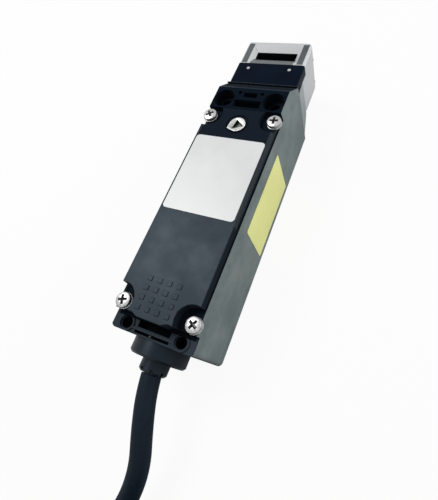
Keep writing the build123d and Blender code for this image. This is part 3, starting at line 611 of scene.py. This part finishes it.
def make_cover_screws():
    """Four domed heads with a cross recess, each on its washer, in the cover's corners."""
    head_bm = bmesh.new()
    lathe(head_bm, SCREW_HEAD_PROFILE_MM)
    head = mesh_piece("screw_head", head_bm, PLATED)
    cut(head, cross_tool())
    # painted shade in the cross recess
    paint_recess_shade(head, SCREW_RECESS_SHADE)
    washer_bm = bmesh.new()
    lathe(washer_bm, WASHER_PROFILE_MM + WASHER_PROFILE_MM[:1])
    washer = mesh_piece("screw_washer", washer_bm, PLATED)
    spots = [(x, y, z) for y, z in SCREW_PLACES_MM for x in (-SCREW_X_MM, SCREW_X_MM)]
    for number, (spot, turn_deg) in enumerate(zip(spots, SCREW_TURNS_DEG), 1):
        for source, turn in ((head, math.radians(turn_deg)), (washer, 0.0)):
            piece = source if number == 1 else new_object(f"{source.name}_{number}", source.data)
            piece.location = at(*spot)
            piece.rotation_euler.z = turn
            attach(piece, "housing")
            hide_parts("cover_screws")


make_cover_screws()

NUB_PLACE_MM = (-0.6, 1.2, 28.88)
NUB_PROFILE_MM = [(0, 0.0), (0.45, 0.0), (0.45, 2.2), (0.3, 2.5), (0, 2.6)]


def make_flange_nub():
    """The small pale nub in the flange's narrow slot."""
    bm = bmesh.new()
    lathe(bm, NUB_PROFILE_MM, segments=20)
    nub = mesh_piece("flange_nub", bm, STRIP)
    nub.location = at(*NUB_PLACE_MM)
    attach(nub, "housing")


make_flange_nub()

KEY_Y_MM = 90.8
KEY_FRONT_MM = 38.2
KEY_RADIUS_MM = 3.7
KEY_TIP_MM = (-3.55, -2.1)
KEY_TIP_RADIUS_MM = 0.45
KEY_DEPTH_MM = 2.2
KEY_BEVEL_MM = 0.25
KEY_OUTLINE_POINTS = 72
SOCKET_RADIUS_MM = 3.0
SOCKET_DEPTH_MM = 1.6
SOCKET_TURN_DEG = 110.0
SOCKET_OFFSET_MM = (0.25, -0.25)
SOCKET_FLOOR_SHARE = 0.9
SOCKET_MOUTH_SHARE = 1.03


def drop_outline(grow_mm):
    """A disc drawn out to a rounded tip, as the convex hull of a large and a small circle."""
    points = []
    for i in range(KEY_OUTLINE_POINTS):
        turn = 2 * math.pi * i / KEY_OUTLINE_POINTS
        ray = Vector((math.cos(turn), math.sin(turn)))
        disc = (KEY_RADIUS_MM + grow_mm) * ray
        tip = Vector(KEY_TIP_MM) + (KEY_TIP_RADIUS_MM + grow_mm) * ray
        points.append(disc if disc.dot(ray) >= tip.dot(ray) else tip)
    return points


def ring_stack(bm, rings):
    """Close a stack of equal rings of points, from the lowest to the highest, into a solid."""
    made = [[bm.verts.new(point) for point in ring] for ring in rings]
    bm.faces.new(list(reversed(made[0])))
    bm.faces.new(made[-1])
    count = len(made[0])
    for low, high in zip(made, made[1:]):
        for i in range(count):
            j = (i + 1) % count
            bm.faces.new((low[i], low[j], high[j], high[i]))


def make_release_key():
    """The drop-shaped key disc with its triangular socket."""
    bm = bmesh.new()
    back, edge, front = KEY_FRONT_MM - KEY_DEPTH_MM, KEY_FRONT_MM - KEY_BEVEL_MM, KEY_FRONT_MM
    levels = [(back, 0.0), (edge, 0.0), (front, -KEY_BEVEL_MM)]
    rings = []
    for height, grow in levels:
        rings.append([at(p.x, KEY_Y_MM + p.y, height) for p in drop_outline(grow)])
    ring_stack(bm, rings)
    key = mesh_piece("release_key_disc", bm, CAST)
    socket_bm = bmesh.new()
    middle = Vector(SOCKET_OFFSET_MM) + Vector((0, KEY_Y_MM))
    rings = []
    floor_level = (KEY_FRONT_MM - SOCKET_DEPTH_MM, SOCKET_FLOOR_SHARE)
    mouth_level = (KEY_FRONT_MM + CUT_PAST_MM, SOCKET_MOUTH_SHARE)
    for height, share in (floor_level, mouth_level):
        ring = []
        for third in range(3):
            turn = math.radians(SOCKET_TURN_DEG + 120 * third)
            spot = middle + SOCKET_RADIUS_MM * share * Vector((math.cos(turn), math.sin(turn)))
            ring.append(at(spot.x, spot.y, height))
        rings.append(ring)
    ring_stack(socket_bm, rings)
    cut(key, mesh_piece("socket_tool", socket_bm, CAST))
    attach(key, "key")
    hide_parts("release_key")


make_release_key()

STRIP_SIDE_MM = (12.25, 15.05)
STRIP_ALONG_MM = (132.0, 144.6)
STRIP_HEIGHT_MM = (33.12, 33.25)


def make_mouth_strips():
    """Dark textured strips in the shallow recesses beside the front mouth."""
    for side, name in ((-1, "mouth_strip_left"), (1, "mouth_strip_right")):
        bm = bmesh.new()
        spans = (STRIP_SIDE_MM, STRIP_ALONG_MM, STRIP_HEIGHT_MM)
        size = Vector([high - low for low, high in spans]) * MM
        x, y, z = [(low + high) / 2 for low, high in spans]
        middle = at(side * x, y, z)
        bmesh.ops.create_cube(bm, size=1, matrix=Matrix.Translation(middle) @ Matrix.Diagonal((*size, 1)))
        piece = mesh_piece(name, bm, STRIP)
        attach(piece, "housing")


make_mouth_strips()

# Camera

camera_data = bpy.data.cameras.new("camera")
camera_data.lens = CAMERA_LENS_MM
camera_data.sensor_width = CAMERA_SENSOR_MM
camera_data.shift_x, camera_data.shift_y = CAMERA_SHIFT
camera_data.clip_start = CAMERA_CLIP_START
camera = new_object("camera", camera_data)
camera.location = CAMERA_PLACE
camera.rotation_euler = [math.radians(a) for a in CAMERA_TURN_DEG]
bpy.context.scene.camera = camera

# Studio: soft lamps, a pale floor and a white background

WHITE = (1, 1, 1, 1)
LAMPS = {  # place, target, size, power in watts
    "overhead": ((-0.31, 0.10, 0.55), (0, -0.02, 0.02), (0.24, 0.24), 2.4),
    "right_side": ((0.60, 0.38, 0.28), (0, 0.01, 0.02), (0.5, 0.4), 2.8),
}
WORLD_FILL = 0.3
FLOOR_SIZE = 6.0
FLOOR_DROP = 0.0003
FLOOR_COLOUR = (0.80, 0.80, 0.80, 1)
FLOOR_WHITENESS = 0.93  # how much of the floor that the camera sees is plain white; the rest takes shadows


def area_lamp(name, place, target, size, power):
    """A rectangular lamp that looks at a target."""
    data = bpy.data.lights.new(name, "AREA")
    data.shape = "RECTANGLE"
    data.size, data.size_y = size
    data.energy = power
    lamp = new_object(name, data)
    lamp.location = place
    direction = Vector(target) - Vector(place)
    lamp.rotation_euler = direction.to_track_quat("-Z", "Y").to_euler()


for lamp_name, settings in LAMPS.items():
    area_lamp(lamp_name, *settings)

world = bpy.data.worlds.new("studio")
bpy.context.scene.world = world
world.use_nodes = True
world_tree = world.node_tree
world_tree.nodes.clear()
rays = add_node(world_tree, "ShaderNodeLightPath").outputs
seen = math_node(world_tree, "MAXIMUM", rays["Is Camera Ray"], rays["Is Glossy Ray"])
seen_all = math_node(world_tree, "MAXIMUM", seen, rays["Is Transmission Ray"])
fill = add_node(world_tree, "ShaderNodeBackground", {"Color": WHITE, "Strength": WORLD_FILL})
backdrop = add_node(world_tree, "ShaderNodeBackground", {"Color": WHITE, "Strength": 1.0})
world_parts = {0: seen_all, 1: fill.outputs[0], 2: backdrop.outputs[0]}
world_mix = add_node(world_tree, "ShaderNodeMixShader", world_parts)
add_node(world_tree, "ShaderNodeOutputWorld", {"Surface": world_mix.outputs[0]})

floor_material = bpy.data.materials.new("floor_white")
floor_material.use_nodes = True
floor_tree = floor_material.node_tree
floor_tree.nodes.clear()
floor_rays = add_node(floor_tree, "ShaderNodeLightPath").outputs
floor_seen = math_node(floor_tree, "MULTIPLY", floor_rays["Is Camera Ray"], FLOOR_WHITENESS)
matt = add_node(floor_tree, "ShaderNodeBsdfDiffuse", {"Color": FLOOR_COLOUR})
glow = add_node(floor_tree, "ShaderNodeEmission", {"Color": WHITE, "Strength": 1.0})
floor_parts = {0: floor_seen, 1: matt.outputs[0], 2: glow.outputs[0]}
floor_mix = add_node(floor_tree, "ShaderNodeMixShader", floor_parts)
add_node(floor_tree, "ShaderNodeOutputMaterial", {"Surface": floor_mix.outputs[0]})

corner = FLOOR_SIZE / 2
floor_corners = [(-corner, -corner, 0), (corner, -corner, 0), (corner, corner, 0), (-corner, corner, 0)]
floor_mesh = bpy.data.meshes.new("floor")
floor_mesh.from_pydata(floor_corners, [], [(0, 1, 2, 3)])
floor_mesh.materials.append(floor_material)
floor = new_object("floor", floor_mesh)
floor.location.z = -FLOOR_DROP

bpy.context.scene.view_settings.view_transform = "Standard"
